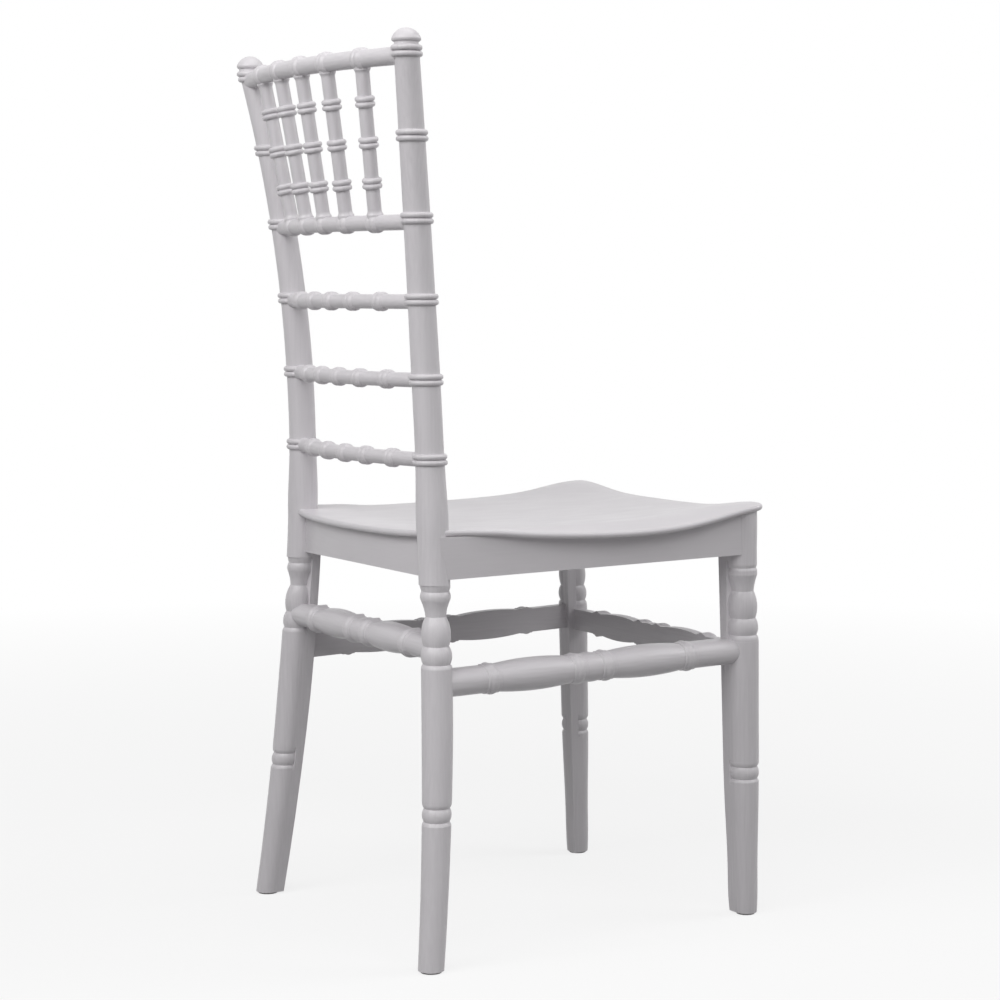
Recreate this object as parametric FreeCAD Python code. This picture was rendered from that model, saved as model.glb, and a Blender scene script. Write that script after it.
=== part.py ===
import FreeCAD, Part
import math
import os

# A light event chair of the chiavari pattern, moulded in white resin and put together from its members.
# Millimetres. +Z is up, the floor is Z = 0, the sitter faces -Y and the sitter's left is +X.
# The origin is on the floor, under the middle of the chair's outer box.
# What stands on the left is drawn once, and its twin on the right is the mirror image.

Vector = FreeCAD.Vector

# Whole chair
overall_height = 918.5
glide_thickness = 2.0

# Back posts: one curved stick is the rear leg below the seat and the post above it
waist_height = 575.0          # height where the two posts come closest
waist_half_width = 138.2      # from the middle of the chair to a post's axis, at the waist
flare_radius = 1590.0         # the outward curve above the waist
hip_radius = 2250.0           # the outward curve below the waist
hip_drop = 220.0              # that curve runs this far below the waist, then the leg is straight
belly_height = 430.0          # height where the post stands furthest forward
belly_y = 152.8
rake_radius = 2520.0          # the backward curve above the belly
sabre_radius = 3490.0         # the backward curve below it
rear_foot_radius = 13.1
rear_ankle_radius = 14.8      # at the lower turning
rear_leg_radius = 15.7        # between the two groups of turnings
post_seat_radius = 16.0
post_rail_radius = 14.4       # just above the lowest rail
post_top_radius = 12.4
radius_run = 15.0             # a new radius is reached this far past a turning

# Front legs, nearly upright
front_top_x = 166.2           # a leg's axis at the apron
front_top_y = -210.7
front_foot_x = front_top_x - 0.8
front_foot_y = front_top_y - 10.7
front_top_height = 430.0
front_foot_radius = 12.2
front_ankle_radius = 15.8
front_leg_radius = 17.0
front_knee_radius = 15.9      # beside the apron

# Turnings of the legs: every leg keeps one square corner, towards the middle of the chair
corner_half_angle = 26.0      # the turnings stop this far from the corner's middle
knee_corner_proud = 2.1       # how much the front legs' corner grows beside the apron
groove_depth = 1.9
rear_neck_depth = 5.4         # the thin neck above the egg
front_neck_depth = 4.6
egg_depth = 0.9               # the egg's widest place below the leg's surface
pinch_depth = 2.9             # the crease between the egg and the torus under it
torus_height = 17.8
egg_height = 29.0
neck_height = 16.0            # the hollow from the egg up to the band
band_height = 9.0
shoulder_height = 6.5         # the rounded steps above and below a group of turnings
rear_turning_height = 300.5   # the groove under the upper turnings
front_turning_height = 304.0
rear_ankle_height = 153.0     # middle of the lower torus
front_ankle_height = 155.0
ankle_half = 6.6              # half the height of the lower torus
front_turning_inset = 0.4     # how much thinner the front legs are turned
shoulder_inset = 0.5          # how far the middle of a shoulder's curve lies under the surface
shoulder_share = 0.35         # height of that place above the groove, as a share of the shoulder
torus_inset = 0.1
egg_widest_share = 0.42       # height of the egg's widest place as a share of the egg
neck_curve_rise = 0.62        # middle of the neck's curve as shares of its height and depth
neck_curve_depth = 0.35
band_edge_depth = 1.2         # lower edge of the band
band_inset = 0.4
run_out_depth = 0.5           # how the cutting outline leaves the leg's surface
run_out_height = 0.1
waste_reach = 8.0             # the cut reaches this far outside the leg
waste_overlap = 5.0           # degrees by which its two halves overlap

# Ring pairs of the posts
collar_height = overall_height - 22.0    # middle of the top pair
lowest_ring_height = 502.5
ring_count = 6
ring_pitch = (collar_height - lowest_ring_height) / (ring_count - 1)
ring_proud = 3.0
ring_half = 2.75              # half the height of one ring
ring_lip = 0.8                # a ring's flat top and bottom stand out this far
ring_gap = 0.3                # between the two rings of a pair

# Finials
finial_seat_gap = 0.35        # from the top ring to the finial's seat
finial_seat_height = collar_height + 2 * ring_half + ring_gap / 2 + finial_seat_gap
finial_neck_radius = 11.9
finial_neck_length = 2.6
finial_cap_radius = 14.2
finial_lip_height = 3.6       # from under the cap to its widest place
finial_undercut = 1.6         # the cap's lower edge inside its widest place
finial_lip_inset = 0.4        # a place on the lip's curve, inside and above the edge
finial_lip_rise = 0.9
spigot_radius = 4.5
spigot_length = 16.0

# Back rails, each bowed backward between two ring pairs
top_rail_drop = 3.6           # the rail's axis below the middle of its ring pair
spindle_rail_drop = 3.5
upper_rail_drop = 2.2
low_rail_drop = 0.7
top_rail_radius = 8.8
spindle_rail_radius = 7.8
slat_radius = 7.3
top_rail_bow = 28.0
spindle_rail_bow = 25.6
upper_rail_bow = 26.6
middle_rail_bow = 24.0
lower_rail_bow = 20.8
top_knot_shares = (0.306, 0.641)    # places of the knots as shares of the half span
knot_shares = (0.302, 0.622)
knot_half = 7.8               # half the length of a knot
knot_proud = 2.6
knot_crease = 0.9             # depth of the crease round a knot's middle
root_flare = 2.0              # how much a rail swells at a post, at the swelling's hidden end
knot_sink = 0.5               # a knot starts this far under the rail's surface
knot_lobe_inset = 0.3         # the crests of its two lobes inside its greatest radius
root_length = 7.0
root_sink = 1.0               # the swelling starts this far under the rail's surface
root_depth = 5.0              # the swelling is drawn this far into the post

# Spindles between the top rail and the next one
spindle_radius = 7.0
spindle_ring_proud = 3.0
spindle_ring_half = 2.8
spindle_ring_pitch = (ring_pitch + 1.2) / 2
spindle_ring_top = (ring_pitch + 3.2) / 2    # from the top rail's axis down to the first ring pair
spindle_valley = 0.3          # depth left between two rings, as a share of their height
spindle_root = 1.4            # how much a spindle swells beside a rail
spindle_root_hollow = 0.3     # middle of the swelling's curve
spindle_root_length = 5.0
spindle_root_curve = 4.0

# Joints
fit_gap = 0.15                # clearance round a tenon and past its end
tenon_root = 8.0              # a tenon starts this far inside its own member
rail_tenon_radius = 5.0
rail_tenon_length = 9.0
top_tenon_length = 5.5
spindle_tenon_radius = 4.0
blade_thickness = 6.0         # tenons of the aprons
blade_height = 22.0
blade_length = 7.0
blade_rise = 8.0              # from the apron's bottom edge to its tenon
peg_radius = 4.6              # tenons of the stretchers
peg_length = 10.0
peg_offset = 5.9              # a peg's axis outside the stretcher's own

# Seat, a shaped plate with a rounded rim
seat_thickness = 6.4
rim_radius = seat_thickness / 2 - 0.3    # a narrow flat band is left between the two roundings
seat_front_y = front_top_y - 23.8        # middle of the front edge
seat_front_bow = 4.3
seat_front_half = front_top_x + 18.8     # half width at the front corners
seat_corner_radius = 15.0
seat_side_bow = 13.5
seat_rear_half = waist_half_width + 17.8    # half width at the rear corners, inside the posts
seat_rear_corner_y = belly_y + 4.5
seat_rear_bow = 22.0
seat_rear_height = 430.0      # the top along the rear edge
seat_front_rise = 4.4         # how much higher the middle of the front edge is
front_horn = 10.5             # lift of the two front corners
rear_horn = 3.5               # lift beside the posts
side_dip = 7.2                # how far the side rims sink below the plate
side_dip_width = 32.0         # the dip dies out this far in from the rim
seat_dish = 5.0               # depth of the hollow in the middle
front_horn_inset = 16.0       # middle of a front corner's lift, from the corner
front_horn_back = 9.5
front_horn_width = 62.0       # reach of the lift, across and along the chair
front_horn_length = 75.0
rear_horn_out = 9.0           # the same beside the posts
rear_horn_back = 13.0
rear_horn_width = 50.0
rear_horn_length = 60.0
dish_shift = 6.0              # the hollow's middle behind the seat's
dish_margin = 6.0             # edge of the hollow inside the rear corners' half width
dish_share = 0.98             # length of the hollow as a share of the seat's depth
dip_rear_margin = 68.0        # the side dips start this far ahead of the rear corners
dip_share = 0.84              # length of a dip as a share of the seat's depth
surface_margin = 20.0         # the seat's surface is drawn this far past its outline
surface_points = 45           # points along each side of the grid that draws it

# Aprons
apron_thickness = 12.0
apron_stock_top = 459.25      # an apron's uncut top, inside the seat's waste
apron_rear_bottom = 384.0     # bottom edge at the posts
apron_front_bottom = 391.0    # bottom edge at the front legs
rear_apron_arch = 5.0         # rise of the rear apron's bottom edge at its middle
rim_overhang = 8.0            # seat rim beyond the front and rear aprons
side_apron_out = 13.4         # outer face of a side apron from the line through the leg axes

# Screws, driven up through ledges inside the aprons into bosses under the seat
ledge_length = 24.0
ledge_depth = 16.0
ledge_thickness = 5.0
ledge_height = 407.0          # underside of the ledges
ledge_spread = 70.0           # from an apron's middle to each of its ledges
ledge_root = 4.0              # a ledge starts this far inside its apron
boss_radius = 5.5
boss_stock = 50.0             # uncut length of a boss
screw_radius = 2.0
screw_length = 14.0
screw_head_radius = 4.0
screw_head_height = 2.4
screw_head_flat = 0.6         # the head's flat top as a share of its radius
screw_head_bulge = 0.95       # a place on its rounded side, as shares of its radius and height
screw_head_bulge_height = 0.6
slot_width = 1.0
slot_length = 5.0
slot_depth = 1.4

# Stretchers, half round outside, then straight back to a flat inner face
stretcher_back = 9.0          # depth of the straight part
side_stretcher_inset = 2.0    # the side ones' axis inside the line through the leg axes
side_stretcher_rear_height = 279.6
side_stretcher_front_height = 286.8
rear_stretcher_height = 315.0
front_stretcher_height = 283.0
side_stretcher_radius = 13.6
end_stretcher_radius = 12.0
side_ring_proud = 2.1
end_ring_proud = 3.0
side_swell = 2.7              # how much thicker the two long swellings are
end_swell = 2.6
side_ring_place = 118.5       # from the middle cluster to an outer ring
end_ring_place = 102.0
cluster_place = -23.0         # Y of the middle of the side stretchers' cluster
ring_half_width = 8.0         # half of a ring with its two shoulders
bead_half_width = 4.4         # half of the raised bead between the shoulders
ring_shoulder = 0.9
shoulder_slant = 0.8          # run of a shoulder's sloping edge
cluster_gap = 9.5             # from the cluster's middle to its rings
cluster_barrel = 1.2

# Glides
glide_inset = 2.5             # the glide's rim inside the foot's
glide_stem_radius = 2.5
glide_stem_length = 12.0


def post_axis(z):
    above = max(z - waist_height, 0.0)
    below = min(max(waist_height - z, 0.0), hip_drop)
    straight = max(waist_height - hip_drop - z, 0.0)
    x = waist_half_width + above ** 2 / (2 * flare_radius) + below ** 2 / (2 * hip_radius)
    x += straight * hip_drop / hip_radius
    curve = rake_radius if z > belly_height else sabre_radius
    return Vector(x, belly_y + (z - belly_height) ** 2 / (2 * curve), z)


def front_axis(z):
    part = z / front_top_height
    x = front_foot_x + part * (front_top_x - front_foot_x)
    y = front_foot_y + part * (front_top_y - front_foot_y)
    return Vector(x, y, z)


def slope(axis, z):
    # how the axis moves for each millimetre of height
    return (axis(z + 1.0) - axis(z - 1.0)) * 0.5


def blend(value, stations):
    # straight-line reading of (place, size) pairs in rising order
    for (low, size_low), (high, size_high) in zip(stations, stations[1:]):
        if value <= high:
            part = max((value - low) / (high - low), 0.0)
            return size_low + part * (size_high - size_low)
    return stations[-1][1]


def ring_height(number):
    return collar_height - number * ring_pitch


def turning_top(start):
    return start + torus_height + egg_height + neck_height + band_height + shoulder_height


def post_radius(z):
    ring_low = ring_height(ring_count - 1)
    return blend(z, ((glide_thickness, rear_foot_radius), (rear_ankle_height, rear_ankle_radius),
                     ((rear_ankle_height + rear_turning_height) / 2, rear_leg_radius),
                     (turning_top(rear_turning_height), rear_leg_radius),
                     (turning_top(rear_turning_height) + radius_run, post_seat_radius),
                     (belly_height, post_seat_radius), (ring_low + radius_run, post_rail_radius),
                     (ring_low + ring_pitch, post_rail_radius), (collar_height, post_top_radius)))


def front_radius(z):
    return blend(z, ((glide_thickness, front_foot_radius), (front_ankle_height, front_ankle_radius),
                     (front_turning_height, front_leg_radius),
                     (turning_top(front_turning_height), front_knee_radius)))


def front_corner(z):
    knee = blend(z, ((front_turning_height, 0.0), (apron_front_bottom, knee_corner_proud)))
    return front_radius(z) + knee


def arc_radius(half_span, bow):
    return (half_span ** 2 + bow ** 2) / (2 * bow)


def spaced(low, high, count):
    return [low + (high - low) * step / (count - 1) for step in range(count)]


def mirrored(shape):
    return shape.mirror(Vector(0, 0, 0), Vector(1, 0, 0))


def largest(shape):
    return max(shape.Solids, key=lambda solid: solid.Volume)


def placed(shape, place, way_x, way_z):
    # moves a shape from the origin to `place`, its X and Z turned to the given ways
    turn = FreeCAD.Rotation(way_x, way_z.cross(way_x), way_z, "ZXY")
    shape.Placement = FreeCAD.Placement(place, turn)
    return shape


def leaning(shape, axis, z):
    # slides the level slices of an upright turning sideways, so that they follow the leaning axis
    lean = slope(axis, z)
    shear = FreeCAD.Matrix(1, 0, lean.x, 0, 0, 1, lean.y, 0, 0, 0, 1, 0, 0, 0, 0, 1)
    result = shape.transformGeometry(shear)
    result.translate(axis(z))
    return result


def outline(start, steps, last):
    # closed outline in the XZ plane: (r, z) adds a line, (r, z, r, z) an arc through its first point
    edges = []
    here = Vector(start[0], 0, start[1])
    for step in list(steps) + [last, start]:
        there = Vector(step[-2], 0, step[-1])
        if len(step) == 4:
            edges.append(Part.Arc(here, Vector(step[0], 0, step[1]), there).toShape())
        elif (there - here).Length > 1e-6:
            edges.append(Part.LineSegment(here, there).toShape())
        here = there
    return Part.Face(Part.Wire(edges))


def lathe(start, steps, first=0.0, sweep=360.0):
    # solid of revolution about Z: the outline starts on the axis and comes back to it
    face = outline((0.0, start), steps, (0.0, steps[-1][-1]))
    face.rotate(Vector(0, 0, 0), Vector(0, 0, 1), first)
    return face.revolve(Vector(0, 0, 0), Vector(0, 0, 1), sweep)


def waste(pattern, toward):
    # what the lathe takes off a leg, all round but at its square corner, in two overlapping halves
    start, steps = pattern
    outer = start[0] + waste_reach
    face = outline((outer, start[1]), [start] + steps, (outer, steps[-1][-1]))
    corner_angle = math.degrees(math.atan2(toward.y, toward.x))
    first = corner_angle + corner_half_angle
    sweep = 180.0 - corner_half_angle
    halves = []
    for turn in (first, first + sweep - waste_overlap):
        half = face.rotated(Vector(0, 0, 0), Vector(0, 0, 1), turn)
        halves.append(half.revolve(Vector(0, 0, 0), Vector(0, 0, 1), sweep + waste_overlap))
    return halves


def round_section(centre, radius):
    return Part.Wire(Part.Circle(centre, Vector(0, 0, 1), radius).toShape())


def leg_section(centre, radius, corner, toward):
    # round, with one corner drawn out towards the middle of the chair
    def at(x, y, size):
        return centre + Vector(toward.x * x, toward.y * y, 0) * size

    def quarter(start_x, start_y, end_x, end_y):
        middle = at((start_x + end_x) * slant, (start_y + end_y) * slant, radius)
        return Part.Arc(at(start_x, start_y, radius), middle, at(end_x, end_y, radius)).toShape()

    slant = math.sqrt(0.5)
    return Part.Wire([quarter(1, 0, 0, -1), quarter(0, -1, -1, 0), quarter(-1, 0, 0, 1),
                      Part.LineSegment(at(0, 1, radius), at(1, 1, corner)).toShape(),
                      Part.LineSegment(at(1, 1, corner), at(1, 0, radius)).toShape()])


def upper_turnings(radius, neck_depth):
    # groove, torus, egg, hollow neck, band and groove, from the bottom up
    groove = radius - groove_depth
    pinch = radius - pinch_depth
    neck = radius - neck_depth
    torus_top = torus_height
    egg_top = torus_top + egg_height
    band_low = egg_top + neck_height
    band_top = band_low + band_height
    top = band_top + shoulder_height
    bend = shoulder_height * shoulder_share
    steps = [(radius, -shoulder_height),
             (radius - shoulder_inset, -bend, groove, 0.0),
             (radius - torus_inset, torus_top / 2, pinch, torus_top),
             (radius - egg_depth, torus_top + egg_height * egg_widest_share, neck, egg_top),
             (neck + neck_curve_depth * neck_depth, egg_top + neck_height * neck_curve_rise,
              radius - band_edge_depth, band_low),
             (radius - band_inset, band_low + band_height / 2, groove, band_top),
             (radius - shoulder_inset, top - bend, radius, top),
             (radius + run_out_depth, top + run_out_height)]
    return (radius + run_out_depth, -shoulder_height - run_out_height), steps


def ankle_turnings(radius):
    # one torus between two grooves
    groove = radius - groove_depth
    half = ankle_half
    top = half + shoulder_height
    bend = half + shoulder_height * shoulder_share
    steps = [(radius, -top), (radius - shoulder_inset, -bend, groove, -half),
             (radius, 0.0, groove, half), (radius - shoulder_inset, bend, radius, top),
             (radius + run_out_depth, top + run_out_height)]
    return (radius + run_out_depth, -top - run_out_height), steps


def turned_leg(axis, radius, corner, top, toward, turnings):
    heights = spaced(glide_thickness, top, 10)
    stick = Part.makeLoft([leg_section(axis(z), radius(z), corner(z), toward) for z in heights], True)
    for height, pattern in turnings:
        for half in waste(pattern, toward):
            stick = stick.cut(leaning(half, axis, height))
    return largest(stick)


def ring(radius):
    # one upright-turned ring with a round edge, to fuse to a post
    edge = radius + ring_lip
    return lathe(-ring_half, [(edge, -ring_half), (radius + ring_proud, 0.0, edge, ring_half)])


def ring_pair(number):
    middle = ring_height(number)
    step = ring_half + ring_gap / 2
    return [ring(post_radius(z)).translated(post_axis(z)) for z in (middle - step, middle + step)]


def back_post_blank():
    turnings = [(rear_turning_height, upper_turnings(rear_leg_radius, rear_neck_depth)),
                (rear_ankle_height, ankle_turnings(rear_ankle_radius))]
    leg = turned_leg(post_axis, post_radius, post_radius, belly_height, Vector(-1, -1, 0), turnings)
    heights = spaced(belly_height, finial_seat_height, 10)
    post = Part.makeLoft([round_section(post_axis(z), post_radius(z)) for z in heights], True)
    rings = [one for number in range(ring_count) for one in ring_pair(number)]
    return largest(leg.fuse([post] + rings))


def front_leg_blank(top):
    turned = front_leg_radius - front_turning_inset
    turnings = [(front_turning_height, upper_turnings(turned, front_neck_depth)),
                (front_ankle_height, ankle_turnings(front_ankle_radius))]
    return turned_leg(front_axis, front_radius, front_corner, top, Vector(-1, 1, 0), turnings)


def finial():
    base = post_axis(finial_seat_height)
    height = overall_height - finial_seat_height
    cap = finial_cap_radius
    low = finial_neck_length
    widest = low + finial_lip_height
    dome = height - widest
    ball = arc_radius(cap, dome)
    half_turn = math.asin(cap / ball) / 2
    crown = (ball * math.sin(half_turn), height - ball + ball * math.cos(half_turn), 0.0, height)
    body = lathe(0.0, [(finial_neck_radius, 0.0), (finial_neck_radius, low), (cap - finial_undercut, low),
                       (cap - finial_lip_inset, low + finial_lip_rise, cap, widest), crown])
    return body.fuse(finial_spigot(0.0)).translated(base)


def finial_spigot(gap):
    length = spigot_length + gap
    return Part.makeCylinder(spigot_radius + gap, length, Vector(0, 0, -length))


class Rail:
    # a round rail on a level arc from post to post, with knots

    def __init__(self, pair, drop, radius, bow, shares, tenon):
        self.z = ring_height(pair) - drop
        self.end = post_axis(self.z)
        self.radius = radius
        self.tenon = tenon
        self.arc = arc_radius(self.end.x, bow)
        self.centre = Vector(0, self.end.y + bow - self.arc, self.z)
        self.knots = [share * self.end.x for share in shares]

    def point(self, x):
        return Vector(x, self.centre.y + math.sqrt(self.arc ** 2 - x ** 2), self.z)

    def along(self, x):
        # the way along the rail, towards +X
        out = self.point(x) - self.centre
        return Vector(out.y, -out.x, 0).normalize()

    def tenon_at_post(self, gap):
        way = self.along(self.end.x)
        surface = post_radius(self.z)
        start = self.end - way * (surface + tenon_root)
        length = tenon_root + self.tenon + gap
        return Part.makeCylinder(rail_tenon_radius + gap, length, start, way)

    def knot(self, x):
        peak = self.radius + knot_proud
        crease = peak - knot_crease
        crest = peak - knot_lobe_inset
        base = self.radius - knot_sink
        bead = lathe(-knot_half, [(base, -knot_half), (crest, -knot_half / 2, crease, 0.0),
                                  (crest, knot_half / 2, base, knot_half)])
        return placed(bead, self.point(x), Vector(0, 0, 1), self.along(x))

    def root(self):
        # the swelling beside a post
        surface = post_radius(self.z)
        far = surface + root_length
        near = surface - root_depth
        cone = lathe(-far, [(self.radius - root_sink, -far), (self.radius + root_flare, -near)])
        return placed(cone, self.end, Vector(0, 0, 1), self.along(self.end.x))

    def blank(self, knots):
        turn = 2 * math.degrees(math.asin(self.end.x / self.arc))
        circle = Part.Circle(self.end, self.along(self.end.x), self.radius)
        face = Part.Face(Part.Wire(circle.toShape()))
        bar = face.revolve(self.centre, Vector(0, 0, 1), turn)
        root = self.root()
        return bar.fuse([self.knot(x) for x in knots] + [root, mirrored(root)])

    def solid(self, posts):
        knots = [-self.knots[1], -self.knots[0], 0.0, self.knots[0], self.knots[1]]
        body = largest(self.blank(knots).cut(posts))
        tenon = self.tenon_at_post(0.0)
        return largest(body.fuse([tenon, mirrored(tenon)]))


class Spindle:
    # a straight turned stick from one rail up to another

    def __init__(self, low, high):
        self.low = low
        way = high - low
        self.length = way.Length
        self.way = way.normalize()
        side = Vector(1, 0, 0)
        self.side = (side - self.way * side.dot(self.way)).normalize()

    def blank(self, low_radius, high_radius):
        r = spindle_radius
        half = spindle_ring_half
        proud = r + spindle_ring_proud
        root = r + spindle_root
        hollow = r + spindle_root_hollow
        curve = spindle_root_curve
        low = low_radius + spindle_root_length
        high = self.length - high_radius - spindle_root_length
        steps = [(root, 0.0), (root, low - curve), (hollow, low - curve / 2, r, low)]
        first = self.length - spindle_ring_top
        for place in (first - 2 * spindle_ring_pitch, first - spindle_ring_pitch, first):
            steps.append((r, place - 2 * half))
            steps.append((proud, place - half, r + spindle_valley * spindle_ring_proud, place))
            steps.append((proud, place + half, r, place + 2 * half))
        steps += [(r, high), (hollow, high + curve / 2, root, high + curve), (root, self.length)]
        return placed(lathe(0.0, steps), self.low, self.side, self.way)

    def tenons(self, gap):
        # each reaches just past its rail's axis
        run = self.length + 2 * gap
        return Part.makeCylinder(spindle_tenon_radius + gap, run, self.low - self.way * gap, self.way)

    def solid(self, low_rail, high_rail, low_radius, high_radius):
        body = largest(self.blank(low_radius, high_radius).cut([low_rail, high_rail]))
        return largest(body.fuse(self.tenons(0.0)))


class Stretcher:
    # a turned bar between two legs, half round outside and flat inside

    def __init__(self, start, end, outward, leg_radii, radius, proud, swell, ring_place, middle):
        self.start = start
        self.insets = [math.sqrt(leg ** 2 - peg_offset ** 2) for leg in leg_radii]
        way = end - start
        self.length = way.Length
        self.way = way.normalize()
        self.out = (outward - self.way * outward.dot(self.way)).normalize()
        self.radius = radius
        self.proud = proud
        self.swell = swell
        self.ring_place = ring_place
        self.middle = middle

    def ring_steps(self, place):
        r = self.radius
        half = ring_half_width
        bead = bead_half_width
        edge = half - shoulder_slant
        flat = r + ring_shoulder
        return [(r, place - half), (flat, place - edge), (flat, place - bead),
                (r + self.proud, place, flat, place + bead), (flat, place + edge), (r, place + half)]

    def cluster_steps(self, place):
        r = self.radius
        inner = place - cluster_gap
        outer = place + cluster_gap
        steps = self.ring_steps(inner - ring_half_width)
        steps.append((r + cluster_barrel, place, r, outer))
        return steps + self.ring_steps(outer + ring_half_width)[1:]

    def blank(self):
        # the turned half and the straight part behind it, over the whole run between the legs
        r = self.radius
        low = self.middle - self.ring_place
        high = self.middle + self.ring_place
        reach = cluster_gap + 2 * ring_half_width
        half = ring_half_width
        steps = [(r, 0.0)] + self.ring_steps(low)
        steps.append((r + self.swell, (low + half + self.middle - reach) / 2, r, self.middle - reach))
        steps += self.cluster_steps(self.middle)[1:]
        steps.append((r + self.swell, (high - half + self.middle + reach) / 2, r, high - half))
        steps += self.ring_steps(high)[1:]
        steps.append((r, self.length))
        half_round = lathe(0.0, steps, -90.0, 180.0)
        half_face = outline((0.0, 0.0), steps, (0.0, self.length))
        backs = []
        for turn in (-90.0, 90.0):
            side = half_face.rotated(Vector(0, 0, 0), Vector(0, 0, 1), turn)
            backs.append(side.extrude(Vector(-stretcher_back, 0, 0)))
        return placed(half_round.fuse(backs), self.start, self.out, self.way)

    def pegs(self, gap):
        line = self.start + self.out * peg_offset
        first = line + self.way * (self.insets[0] - peg_length - gap)
        last = line + self.way * (self.length - self.insets[1] + peg_length + gap)
        reach = peg_length + tenon_root + gap
        return [Part.makeCylinder(peg_radius + gap, reach, first, self.way),
                Part.makeCylinder(peg_radius + gap, reach, last, self.way * -1)]

    def solid(self, legs):
        body = largest(self.blank().cut(legs))
        return largest(body.fuse(self.pegs(0.0)))


def rim_x(y):
    # the side rim of the seat
    front = seat_front_y + seat_front_bow
    part = (y - front) / (seat_rear_corner_y - front)
    chord = seat_front_half + part * (seat_rear_half - seat_front_half)
    return chord + seat_side_bow * 4 * part * (1 - part)


def hump(across, width, along, length):
    return math.exp(-(across / width) ** 2 - (along / length) ** 2)


def seat_height(x, y):
    # top of the seat, with everything set from its rear and front edges
    front = seat_front_y + seat_front_bow
    depth = seat_rear_corner_y - front
    back = (seat_rear_corner_y - y) / depth
    side = abs(x)
    base = seat_rear_height + seat_front_rise * max(back, 0.0) ** 2
    front_lift = hump(side - seat_front_half + front_horn_inset, front_horn_width,
                      y - front - front_horn_back, front_horn_length)
    rear_lift = hump(side - seat_rear_half - rear_horn_out, rear_horn_width,
                     y - seat_rear_corner_y + rear_horn_back, rear_horn_length)
    middle = (seat_rear_corner_y + front) / 2 + dish_shift
    across = max(1 - (x / (seat_rear_half - dish_margin)) ** 2, 0.0)
    length = max(1 - (2 * (y - middle) / (depth * dish_share)) ** 2, 0.0)
    inward = min(max(rim_x(y) - side, 0.0) / side_dip_width, 1.0)
    roll = (1 + math.cos(math.pi * inward)) / 2
    dip_rear = seat_rear_corner_y - dip_rear_margin
    wave = 0.0
    if front <= y <= dip_rear:
        wave = max(math.sin(math.pi * (dip_rear - y) / (depth * dip_share)), 0.0)
    return (base + front_horn * front_lift + rear_horn * rear_lift
            - seat_dish * across * length - side_dip * wave * roll)


def seat_top_face():
    half = seat_front_half + seat_side_bow + surface_margin
    rear = seat_rear_corner_y + seat_rear_bow + surface_margin
    rows = spaced(seat_front_y - surface_margin, rear, surface_points)
    columns = spaced(-half, half, surface_points)
    surface = Part.BSplineSurface()
    surface.interpolate([[Vector(x, y, seat_height(x, y)) for y in rows] for x in columns])
    return surface.toShape()


def seat_plan():
    # closed outline on the floor, with the front corners still sharp
    front = seat_front_y + seat_front_bow
    middle = (front + seat_rear_corner_y) / 2
    corner_l = Vector(seat_front_half, front, 0)
    corner_r = Vector(-seat_front_half, front, 0)
    rear_l = Vector(seat_rear_half, seat_rear_corner_y, 0)
    rear_r = Vector(-seat_rear_half, seat_rear_corner_y, 0)
    side_l = Vector(rim_x(middle), middle, 0)
    side_r = Vector(-rim_x(middle), middle, 0)
    nose = Vector(0, seat_front_y, 0)
    tail = Vector(0, seat_rear_corner_y + seat_rear_bow, 0)
    return Part.Wire([Part.Arc(corner_r, nose, corner_l).toShape(),
                      Part.Arc(corner_l, side_l, rear_l).toShape(),
                      Part.Arc(rear_l, tail, rear_r).toShape(),
                      Part.Arc(rear_r, side_r, corner_r).toShape()])


def seat_prism():
    # upright walls of the seat's outline, with its front corners rounded
    tall = overall_height
    prism = Part.Face(seat_plan()).extrude(Vector(0, 0, tall))
    corners = [edge for edge in prism.Edges
               if abs(edge.Length - tall) < 1e-3 and edge.BoundBox.YMax < 0]
    return prism.makeFillet(seat_corner_radius, corners)


def is_wall(face):
    u_low, u_high, v_low, v_high = face.ParameterRange
    return abs(face.normalAt((u_low + u_high) / 2, (v_low + v_high) / 2).z) < 0.5


def seat_plate(top_face):
    slab = top_face.extrude(Vector(0, 0, -seat_thickness))
    plate = largest(slab.common(seat_prism()))
    rims = []
    for edge in plate.Edges:
        sides = [is_wall(face) for face in plate.ancestorsOfType(edge, Part.Face)]
        if sides.count(True) == 1:
            rims.append(edge)
    return plate.makeFillet(rim_radius, rims)


def block(place, way, root, length, width, height):
    # a level box that grows out of `place` along `way`, with its root behind it
    box = Part.makeBox(root + length, width, height)
    box.translate(Vector(-root, -width / 2, 0))
    up = Vector(0, 0, 1)
    turn = FreeCAD.Rotation(way, up.cross(way), up, "ZXY")
    box.Placement = FreeCAD.Placement(place, turn) * box.Placement
    return box


class Apron:
    # a board on edge under the seat rim; `body` is its outline before it is fitted to its neighbours

    def __init__(self, body, ledge_places, blades):
        self.body = body
        self.ledge_places = ledge_places
        self.blades = blades

    def blade(self, place, way, gap):
        # a flat tenon that enters the leg at `place`
        low = place - Vector(0, 0, gap)
        return block(low, way, tenon_root, blade_length + gap, blade_thickness + 2 * gap,
                     blade_height + 2 * gap)

    def tenons(self, gap):
        return [self.blade(place, way, gap) for place, way in self.blades]

    def screw_places(self):
        return [place + inward * (ledge_depth / 2) for place, inward in self.ledge_places]

    def solid(self, neighbours, cover):
        board = largest(self.body.cut(neighbours + [cover]))
        ledges = [block(place, inward, ledge_root, ledge_depth, ledge_length, ledge_thickness)
                  for place, inward in self.ledge_places]
        whole = board.fuse(ledges + self.tenons(0.0))
        holes = [screw_hole(place, screw_radius + fit_gap) for place in self.screw_places()]
        return largest(whole.cut(holes))


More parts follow.
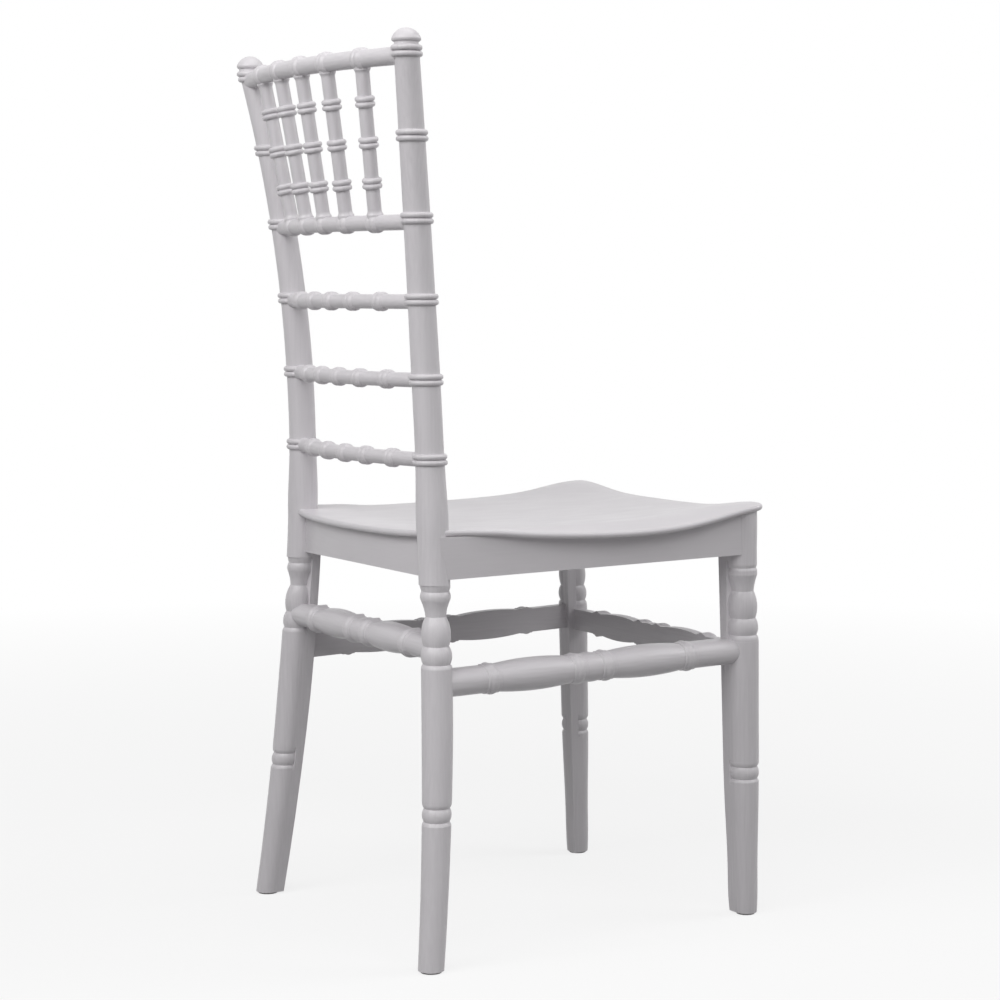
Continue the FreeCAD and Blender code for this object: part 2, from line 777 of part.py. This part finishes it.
def side_apron():
    rear = post_axis(apron_rear_bottom)
    front = front_axis(apron_front_bottom)
    way = Vector(front.x - rear.x, front.y - rear.y, 0).normalize()
    out = Vector(-way.y, way.x, 0)
    shift = out * side_apron_out
    low_rear = Vector(rear.x, rear.y, apron_rear_bottom) + shift
    low_front = Vector(front.x, front.y, apron_front_bottom) + shift
    top = apron_stock_top
    face = Part.Face(Part.makePolygon([low_rear, low_front, Vector(low_front.x, low_front.y, top),
                                       Vector(low_rear.x, low_rear.y, top), low_rear]))
    body = face.extrude(out * -apron_thickness)
    middle = (low_rear + low_front) * 0.5 - out * apron_thickness
    places = []
    for step in (-ledge_spread, ledge_spread):
        spot = middle + way * step
        places.append((Vector(spot.x, spot.y, ledge_height), out * -1))
    centre = side_apron_out - apron_thickness / 2
    rear_chord = math.sqrt(post_seat_radius ** 2 - centre ** 2)
    front_chord = math.sqrt(front_knee_radius ** 2 - centre ** 2)
    rear_end = low_rear - out * (apron_thickness / 2) + way * rear_chord
    front_end = low_front - out * (apron_thickness / 2) - way * front_chord
    rise = Vector(0, 0, blade_rise)
    return Apron(body, places, [(rear_end + rise, way * -1), (front_end + rise, way)])


def bowed_board(centre_y, radius, outward, half_span, bottom):
    # a board bent to a level arc; `outward` is the way it faces along Y, 1 or -1
    outer = radius
    inner = radius - apron_thickness
    high = apron_stock_top

    def at(x, r):
        return Vector(x, centre_y + outward * math.sqrt(r ** 2 - x ** 2), bottom)

    edges = [Part.Arc(at(-half_span, outer), at(0, outer), at(half_span, outer)).toShape(),
             Part.LineSegment(at(half_span, outer), at(half_span, inner)).toShape(),
             Part.Arc(at(half_span, inner), at(0, inner), at(-half_span, inner)).toShape(),
             Part.LineSegment(at(-half_span, inner), at(-half_span, outer)).toShape()]
    return Part.Face(Part.Wire(edges)).extrude(Vector(0, 0, high - bottom))


def end_apron(edge_y, bow, half_width, outward, axis, leg_radius, bottom, arch):
    # front or rear apron, bent like the seat's edge and set in from it
    arc = arc_radius(half_width, bow)
    centre_y = edge_y - outward * arc
    radius = arc - rim_overhang
    post = axis(bottom)
    body = bowed_board(centre_y, radius, outward, post.x, bottom)
    if arch > 0:
        low = Vector(-post.x, -overall_height, bottom)
        rise = Vector(0, -overall_height, bottom + arch)
        high = Vector(post.x, -overall_height, bottom)
        under = Part.Face(Part.Wire([Part.Arc(low, rise, high).toShape(),
                                     Part.LineSegment(high, low).toShape()]))
        body = body.cut(under.extrude(Vector(0, 2 * overall_height, 0)))
    places = []
    for x in (-ledge_spread, ledge_spread):
        inner = radius - apron_thickness
        y = centre_y + outward * math.sqrt(inner ** 2 - x ** 2)
        places.append((Vector(x, y, ledge_height), Vector(0, -outward, 0)))
    face_x = post.x - leg_radius
    mid_y = centre_y + outward * (math.sqrt(radius ** 2 - face_x ** 2) - apron_thickness / 2)
    offset = mid_y - post.y
    if offset * outward > 0:
        face_x = post.x - math.sqrt(leg_radius ** 2 - offset ** 2)
    rise = bottom + blade_rise
    left = (Vector(face_x, mid_y, rise), Vector(1, 0, 0))
    right = (Vector(-face_x, mid_y, rise), Vector(-1, 0, 0))
    return Apron(body, places, [left, right])


def screw_hole(place, radius):
    return Part.makeCylinder(radius, screw_length, place)


def screw(place):
    side = (screw_head_radius * screw_head_bulge, -screw_head_height * screw_head_bulge_height,
            screw_head_radius, 0.0)
    head = lathe(-screw_head_height, [(screw_head_radius * screw_head_flat, -screw_head_height), side])
    slot = Part.makeBox(slot_width, slot_length, slot_depth)
    slot.translate(Vector(-slot_width / 2, -slot_length / 2, -screw_head_height))
    cross = slot.rotated(Vector(0, 0, 0), Vector(0, 0, 1), 90)
    shank = Part.makeCylinder(screw_radius, screw_length)
    return head.cut([slot, cross]).fuse(shank).translated(place)


def seat_solid(top_face, posts, screw_places):
    plate = seat_plate(top_face)
    body = top_face.extrude(Vector(0, 0, -boss_stock)).translated(Vector(0, 0, -seat_thickness / 2))
    bosses = []
    for place in screw_places:
        base = Vector(place.x, place.y, ledge_height + ledge_thickness)
        column = Part.makeCylinder(boss_radius, boss_stock, base)
        bosses.append(largest(column.common(body)))
    holes = [screw_hole(place, screw_radius) for place in screw_places]
    return largest(plate.fuse(bosses).cut(posts + holes))


def glide(axis, radius):
    foot = axis(glide_thickness)
    disc = Part.makeCylinder(radius - glide_inset, glide_thickness, Vector(foot.x, foot.y, 0))
    return largest(disc.fuse(glide_stem(axis, 0.0)))


def glide_stem(axis, gap):
    foot = axis(glide_thickness)
    length = glide_thickness + glide_stem_length + gap
    return Part.makeCylinder(glide_stem_radius + gap, length, Vector(foot.x, foot.y, 0))


def back_rails():
    def rail(pair, drop, radius, bow):
        return Rail(pair, drop, radius, bow, knot_shares, rail_tenon_length)

    return {"top_rail": Rail(0, top_rail_drop, top_rail_radius, top_rail_bow, top_knot_shares,
                             top_tenon_length),
            "spindle_rail": rail(2, spindle_rail_drop, spindle_rail_radius, spindle_rail_bow),
            "upper_rail": rail(3, upper_rail_drop, slat_radius, upper_rail_bow),
            "middle_rail": rail(4, low_rail_drop, slat_radius, middle_rail_bow),
            "lower_rail": rail(5, low_rail_drop, slat_radius, lower_rail_bow)}


def add_spindles(nodes, low, high):
    # five, numbered from the sitter's left, each on a pair of knots
    for number, (side, knot) in enumerate(((1, 1), (1, 0), (0, 0), (-1, 0), (-1, 1)), 1):
        spindle = Spindle(low.point(side * low.knots[knot]), high.point(side * high.knots[knot]))
        stick = spindle.solid(nodes["spindle_rail"], nodes["top_rail"], low.radius, high.radius)
        nodes["spindle_" + str(number)] = stick
        for rail in ("spindle_rail", "top_rail"):
            nodes[rail] = largest(nodes[rail].cut(spindle.tenons(fit_gap)))


def side_stretcher():
    inset = Vector(side_stretcher_inset, 0, 0)
    start = post_axis(side_stretcher_rear_height) - inset
    end = front_axis(side_stretcher_front_height) - inset
    middle = (start.y - cluster_place) / (start.y - end.y) * (end - start).Length
    return Stretcher(start, end, Vector(1, 0, 0), (rear_leg_radius, front_leg_radius),
                     side_stretcher_radius, side_ring_proud, side_swell, side_ring_place, middle)


def end_stretcher(end, outward, leg_radius):
    start = Vector(-end.x, end.y, end.z)
    return Stretcher(start, end, Vector(0, outward, 0), (leg_radius, leg_radius), end_stretcher_radius,
                     end_ring_proud, end_swell, end_ring_place, end.x)


def build():
    top_face = seat_top_face()
    under_face = top_face.translated(Vector(0, 0, -seat_thickness - fit_gap))
    cover = under_face.extrude(Vector(0, 0, overall_height / 4))
    leg_top = seat_rear_height + seat_front_rise + front_horn
    post = back_post_blank()
    leg = largest(front_leg_blank(leg_top).cut(cover))
    sticks = [post, mirrored(post), leg, mirrored(leg)]

    rails = back_rails()
    nodes = {name: rail.solid(sticks[:2]) for name, rail in rails.items()}
    add_spindles(nodes, rails["spindle_rail"], rails["top_rail"])

    side = side_apron()
    rear = end_apron(seat_rear_corner_y + seat_rear_bow, seat_rear_bow, seat_rear_half, 1, post_axis,
                     post_seat_radius, apron_rear_bottom, rear_apron_arch)
    front = end_apron(seat_front_y, seat_front_bow, seat_front_half, -1, front_axis, front_knee_radius,
                      apron_front_bottom, 0.0)
    nodes["left_apron"] = side.solid(sticks, cover)
    nodes["rear_apron"] = rear.solid(sticks, cover)
    nodes["front_apron"] = front.solid(sticks, cover)

    left_bar = side_stretcher()
    rear_bar = end_stretcher(post_axis(rear_stretcher_height), 1, rear_leg_radius)
    front_bar = end_stretcher(front_axis(front_stretcher_height), -1, front_leg_radius)
    nodes["left_stretcher"] = left_bar.solid(sticks)
    nodes["rear_stretcher"] = rear_bar.solid(sticks)
    nodes["front_stretcher"] = front_bar.solid(sticks)

    left_screws = side.screw_places()
    right_screws = [Vector(-place.x, place.y, place.z) for place in left_screws]
    screw_places = left_screws + right_screws + rear.screw_places() + front.screw_places()
    nodes["seat"] = seat_solid(top_face, sticks[:2], screw_places)
    nodes["seat_screws"] = Part.Compound([screw(place) for place in screw_places])

    nodes["finial_left"] = finial()
    spigot = finial_spigot(fit_gap).translated(post_axis(finial_seat_height))
    post_sockets = [rail.tenon_at_post(fit_gap) for rail in rails.values()]
    post_sockets += [side.tenons(fit_gap)[0], rear.tenons(fit_gap)[0], left_bar.pegs(fit_gap)[0],
                     rear_bar.pegs(fit_gap)[1], spigot, glide_stem(post_axis, fit_gap)]
    leg_sockets = [side.tenons(fit_gap)[1], front.tenons(fit_gap)[0], left_bar.pegs(fit_gap)[1],
                   front_bar.pegs(fit_gap)[1], glide_stem(front_axis, fit_gap)]
    nodes["back_post_left"] = largest(post.cut(post_sockets))
    nodes["front_leg_left"] = largest(leg.cut(leg_sockets))

    for name in [name for name in nodes if "left" in name]:
        nodes[name.replace("left", "right")] = mirrored(nodes[name])
    glides = [glide(post_axis, rear_foot_radius), glide(front_axis, front_foot_radius)]
    nodes["foot_glides"] = Part.Compound(glides + [mirrored(one) for one in glides])
    return nodes


os.makedirs("parts", exist_ok=True)
for name, shape in build().items():
    if len(shape.Solids) == 1:
        shape = shape.Solids[0]
    print(name, shape.isValid(), len(shape.Solids), round(shape.Volume))
    shape.exportStep("parts/" + name + ".step")
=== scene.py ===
import math

import bpy
from mathutils import Matrix, Vector

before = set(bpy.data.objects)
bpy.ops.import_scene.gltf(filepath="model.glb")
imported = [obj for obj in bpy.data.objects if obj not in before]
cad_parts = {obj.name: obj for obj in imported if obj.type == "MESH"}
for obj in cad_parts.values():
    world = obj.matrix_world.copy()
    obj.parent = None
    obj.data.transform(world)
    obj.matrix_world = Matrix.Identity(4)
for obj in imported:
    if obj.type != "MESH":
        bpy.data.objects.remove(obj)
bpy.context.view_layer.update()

WHITE = (1.0, 1.0, 1.0, 1.0)
SMOOTH_ANGLE = math.radians(38.0)

# Looks of the materials. Colours are linear, depths are in metres, and a scale is how many
# cells of noise go into a metre. The narrow range of a noise's values, spread over a colour
# or a roughness, gives more contrast than the wide one
NARROW = (0.35, 0.65)
WIDE = (0.3, 0.7)
FINE_DETAIL = 2.0

# Resin
RESIN = (0.72, 0.695, 0.72)
RESIN_SHADE = (0.66, 0.635, 0.66)
RESIN_ROUGHNESS = (0.31, 0.42)
RESIN_IOR = 1.5
GRAIN_SCALE = 360.0
GRAIN_DETAIL = 3.0
GRAIN_ROUGHNESS = 0.55         # share that each finer octave of the streaks keeps
GRAIN_DEPTH = 0.00035
ALONG = 0.045                  # scale of the streaks along a member, as a share of that across it
PLAIN_STRETCH = (0.12, 0.05, 1.0)  # the shares along X, Y and Z in the seat and the finials
STICK_GRAIN = 1.0              # strength of the streaks on the turned members
BOARD_GRAIN = 0.3              # on the aprons
PLAIN_GRAIN = 0.22             # on the seat and the finials
CLOUD_SCALE = 14.0
CLOUD_SHARE = (0.4, 1.0)       # how far the clouds let the darker colour through
PEEL_SCALE = 900.0
PEEL_DEPTH = 0.00002

# Zinc-plated steel of the screws
STEEL = (0.50, 0.51, 0.52)
STEEL_SHADE = (0.40, 0.41, 0.42)
STEEL_ROUGHNESS = (0.28, 0.42)
STEEL_SCALE = 700.0
STEEL_DETAIL = 3.0
STEEL_DEPTH = 0.00002

# Plastic of the glides
GLIDE = (0.50, 0.49, 0.49)
GLIDE_SHADE = (0.42, 0.41, 0.41)
GLIDE_ROUGHNESS = (0.55, 0.7)
GLIDE_SCALE = 1400.0
GLIDE_DEPTH = 0.00004

# Which way the streaks run in each member
UPRIGHT = ("back_post_left", "back_post_right", "front_leg_left", "front_leg_right",
           "spindle_1", "spindle_2", "spindle_3", "spindle_4", "spindle_5")
ACROSS = ("top_rail", "spindle_rail", "upper_rail", "middle_rail", "lower_rail",
          "front_stretcher", "rear_stretcher")
LENGTHWISE = ("left_stretcher", "right_stretcher")
BOARDS_ACROSS = ("front_apron", "rear_apron")
BOARDS_LENGTHWISE = ("left_apron", "right_apron")
PLAIN = ("seat", "finial_left", "finial_right")

# Floor: its half width, and how far from the chair's middle it starts and ends turning plain white
FLOOR_HALF = 9.0
FADE_START = 0.7
FADE_END = 2.6
FLOOR_GREY = (0.30, 0.30, 0.30)    # for the light that it throws back
FLOOR_WHITE = (0.9, 0.9, 0.9)      # for what the camera sees
FLOOR_GLOW = 0.80                  # share of plain white in what the camera sees near the chair
FLOOR_ROUGHNESS = 0.9

# Lights: each lamp's name, where it stands, what it points at, and its watts
WORLD_LIGHT = 0.10
LAMP_SIZE = 1.5
SEAT = (0.0, 0.0, 0.43)
BACK = (0.0, 0.15, 0.7)
LAMPS = (("above", (-0.2, -0.1, 2.4), SEAT, 7.8),
         ("behind", (-0.3, 1.9, 1.9), BACK, 22.5),
         ("side", (-2.2, 0.0, 1.9), BACK, 7.0),
         ("corner", (-1.5, 1.3, 2.0), BACK, 15.8),
         ("front", (-0.9, -2.0, 1.9), BACK, 20.5))

# Camera at the photograph's angle, with its sensor and lens in millimetres
CAMERA_PLACE = Vector((-2.1978, 1.3262, 0.6741))
CAMERA_AZIMUTH = math.radians(238.66)
CAMERA_PITCH = math.radians(5.11)
CAMERA_SENSOR = 36.0
CAMERA_LENS = 86.5


def new_material(name):
    material = bpy.data.materials.new(name)
    material.use_nodes = True
    tree = material.node_tree
    tree.nodes.clear()
    output = tree.nodes.new("ShaderNodeOutputMaterial")
    shader = tree.nodes.new("ShaderNodeBsdfPrincipled")
    tree.links.new(shader.outputs["BSDF"], output.inputs["Surface"])
    return material, tree, shader


def object_place(tree):
    return tree.nodes.new("ShaderNodeTexCoord").outputs["Object"]


def noise(tree, place, scale, detail, roughness=0.5):
    node = tree.nodes.new("ShaderNodeTexNoise")
    node.inputs["Scale"].default_value = scale
    node.inputs["Detail"].default_value = detail
    node.inputs["Roughness"].default_value = roughness
    tree.links.new(place, node.inputs["Vector"])
    return node.outputs["Fac"]


def spread(tree, value, taken, given=(0.0, 1.0)):
    # maps the range `taken` to the range `given`, and what is past its ends to the ends
    node = tree.nodes.new("ShaderNodeMapRange")
    node.inputs["From Min"].default_value = taken[0]
    node.inputs["From Max"].default_value = taken[1]
    node.inputs["To Min"].default_value = given[0]
    node.inputs["To Max"].default_value = given[1]
    tree.links.new(value, node.inputs["Value"])
    return node.outputs["Result"]


def math_node(tree, operation, first, second):
    node = tree.nodes.new("ShaderNodeMath")
    node.operation = operation
    tree.links.new(first, node.inputs[0])
    tree.links.new(second, node.inputs[1])
    return node.outputs["Value"]


def mixed(tree, factor, first, second):
    node = tree.nodes.new("ShaderNodeMix")
    node.data_type = "RGBA"
    node.inputs["A"].default_value = (*first, 1.0)
    node.inputs["B"].default_value = (*second, 1.0)
    tree.links.new(factor, node.inputs["Factor"])
    return node.outputs["Result"]


def bumped(tree, shader, layers):
    # layers of (height, depth), the finest first
    normal = None
    for height, depth in layers:
        bump = tree.nodes.new("ShaderNodeBump")
        bump.inputs["Strength"].default_value = 1.0
        bump.inputs["Distance"].default_value = depth
        tree.links.new(height, bump.inputs["Height"])
        if normal:
            tree.links.new(normal, bump.inputs["Normal"])
        normal = bump.outputs["Normal"]
    tree.links.new(normal, shader.inputs["Normal"])


def resin(name, stretch, grain):
    # satin moulded resin with faint streaks, like the grain of turned wood, along the member
    material, tree, shader = new_material(name)
    place = object_place(tree)
    mapping = tree.nodes.new("ShaderNodeMapping")
    mapping.inputs["Scale"].default_value = stretch
    tree.links.new(place, mapping.inputs["Vector"])
    streaks = noise(tree, mapping.outputs["Vector"], GRAIN_SCALE, GRAIN_DETAIL, GRAIN_ROUGHNESS)
    cloud = noise(tree, place, CLOUD_SCALE, FINE_DETAIL)
    peel = noise(tree, place, PEEL_SCALE, FINE_DETAIL)
    clouded = spread(tree, cloud, NARROW, CLOUD_SHARE)
    streaked = spread(tree, streaks, WIDE, (0.5 - grain / 2, 0.5 + grain / 2))
    tone = math_node(tree, "MULTIPLY", clouded, streaked)
    tree.links.new(mixed(tree, tone, RESIN, RESIN_SHADE), shader.inputs["Base Color"])
    tree.links.new(spread(tree, streaks, WIDE, RESIN_ROUGHNESS), shader.inputs["Roughness"])
    shader.inputs["IOR"].default_value = RESIN_IOR
    bumped(tree, shader, [(peel, PEEL_DEPTH), (streaks, grain * GRAIN_DEPTH)])
    return material


def hazed(name, scale, detail, colours, roughness, depth, metallic=0.0):
    # one fine haze drives the colour, the roughness and the bump
    material, tree, shader = new_material(name)
    haze = noise(tree, object_place(tree), scale, detail)
    tree.links.new(mixed(tree, spread(tree, haze, NARROW), *colours), shader.inputs["Base Color"])
    tree.links.new(spread(tree, haze, WIDE, roughness), shader.inputs["Roughness"])
    shader.inputs["Metallic"].default_value = metallic
    bumped(tree, shader, [(haze, depth)])
    return material


def steel(name):
    colours = (STEEL, STEEL_SHADE)
    return hazed(name, STEEL_SCALE, STEEL_DETAIL, colours, STEEL_ROUGHNESS, STEEL_DEPTH, metallic=1.0)


def glide_plastic(name):
    colours = (GLIDE, GLIDE_SHADE)
    return hazed(name, GLIDE_SCALE, FINE_DETAIL, colours, GLIDE_ROUGHNESS, GLIDE_DEPTH)


def dress(names, material):
    for name in names:
        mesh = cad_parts[name].data
        mesh.materials.clear()
        mesh.materials.append(material)
        mesh.shade_smooth()
        mesh.set_sharp_from_angle(angle=SMOOTH_ANGLE)


def background_rays(tree):
    # 1 for what is seen, also in a gloss or through something clear, and 0 for the light on the chair
    path = tree.nodes.new("ShaderNodeLightPath")
    seen = path.outputs["Is Camera Ray"]
    for kind in ("Is Glossy Ray", "Is Transmission Ray"):
        seen = math_node(tree, "MAXIMUM", seen, path.outputs[kind])
    return seen


def floor_material():
    # near white to the camera, with the chair's soft shadow, and a mid grey to the light on the chair
    material, tree, shader = new_material("floor")
    shader.inputs["Roughness"].default_value = FLOOR_ROUGHNESS
    seen = background_rays(tree)
    tree.links.new(mixed(tree, seen, FLOOR_GREY, FLOOR_WHITE), shader.inputs["Base Color"])
    # the share of white grows with the distance from the chair, so that the floor has no edge
    distance = tree.nodes.new("ShaderNodeVectorMath")
    distance.operation = "LENGTH"
    tree.links.new(object_place(tree), distance.inputs[0])
    share = spread(tree, distance.outputs["Value"], (FADE_START, FADE_END), (FLOOR_GLOW, 1.0))
    amount = math_node(tree, "MULTIPLY", seen, share)
    glow = tree.nodes.new("ShaderNodeEmission")
    glow.inputs["Color"].default_value = WHITE
    glow.inputs["Strength"].default_value = 1.0
    blend = tree.nodes.new("ShaderNodeMixShader")
    tree.links.new(amount, blend.inputs["Fac"])
    tree.links.new(shader.outputs["BSDF"], blend.inputs[1])
    tree.links.new(glow.outputs["Emission"], blend.inputs[2])
    output = next(node for node in tree.nodes if node.type == "OUTPUT_MATERIAL")
    tree.links.new(blend.outputs["Shader"], output.inputs["Surface"])
    return material


def add(name, data):
    holder = bpy.data.objects.new(name, data)
    bpy.context.scene.collection.objects.link(holder)
    return holder


def add_floor():
    mesh = bpy.data.meshes.new("floor")
    corners = [(-FLOOR_HALF, -FLOOR_HALF, 0.0), (FLOOR_HALF, -FLOOR_HALF, 0.0),
               (FLOOR_HALF, FLOOR_HALF, 0.0), (-FLOOR_HALF, FLOOR_HALF, 0.0)]
    mesh.from_pydata(corners, [], [(0, 1, 2, 3)])
    mesh.materials.append(floor_material())
    add("floor", mesh)


def add_world():
    # white where it is seen, and a soft grey light on the chair
    world = bpy.data.worlds.new("world")
    bpy.context.scene.world = world
    world.use_nodes = True
    tree = world.node_tree
    tree.nodes.clear()
    output = tree.nodes.new("ShaderNodeOutputWorld")
    mix = tree.nodes.new("ShaderNodeMixShader")
    tree.links.new(background_rays(tree), mix.inputs["Fac"])
    for socket, strength in ((1, WORLD_LIGHT), (2, 1.0)):
        background = tree.nodes.new("ShaderNodeBackground")
        background.inputs["Color"].default_value = WHITE
        background.inputs["Strength"].default_value = strength
        tree.links.new(background.outputs["Background"], mix.inputs[socket])
    tree.links.new(mix.outputs["Shader"], output.inputs["Surface"])


def looking(place, target):
    # stands at `place` and looks at `target`, upright
    back = (place - target).normalized()
    right = Vector((0.0, 0.0, 1.0)).cross(back).normalized()
    up = back.cross(right)
    return Matrix.Translation(place) @ Matrix((right, up, back)).transposed().to_4x4()


def add_lamp(name, place, target, power):
    data = bpy.data.lights.new(name, "AREA")
    data.shape = "DISK"
    data.size = LAMP_SIZE
    data.energy = power
    add(name, data).matrix_world = looking(Vector(place), Vector(target))


def add_camera():
    data = bpy.data.cameras.new("camera")
    data.sensor_width = CAMERA_SENSOR
    data.lens = CAMERA_LENS
    back = Vector((math.sin(CAMERA_AZIMUTH) * math.cos(CAMERA_PITCH),
                   -math.cos(CAMERA_AZIMUTH) * math.cos(CAMERA_PITCH),
                   math.sin(CAMERA_PITCH)))
    camera = add("camera", data)
    camera.matrix_world = looking(CAMERA_PLACE, CAMERA_PLACE - back)
    bpy.context.scene.camera = camera


dress(UPRIGHT, resin("resin_upright", (1.0, 1.0, ALONG), STICK_GRAIN))
dress(ACROSS, resin("resin_across", (ALONG, 1.0, 1.0), STICK_GRAIN))
dress(LENGTHWISE, resin("resin_lengthwise", (1.0, ALONG, 1.0), STICK_GRAIN))
dress(BOARDS_ACROSS, resin("resin_board_across", (ALONG, 1.0, 1.0), BOARD_GRAIN))
dress(BOARDS_LENGTHWISE, resin("resin_board_lengthwise", (1.0, ALONG, 1.0), BOARD_GRAIN))
dress(PLAIN, resin("resin_plain", PLAIN_STRETCH, PLAIN_GRAIN))
dress(("seat_screws",), steel("zinc_steel"))
dress(("foot_glides",), glide_plastic("glide_plastic"))

add_floor()
add_world()
for lamp in LAMPS:
    add_lamp(*lamp)
add_camera()
bpy.context.scene.view_settings.view_transform = "Standard"
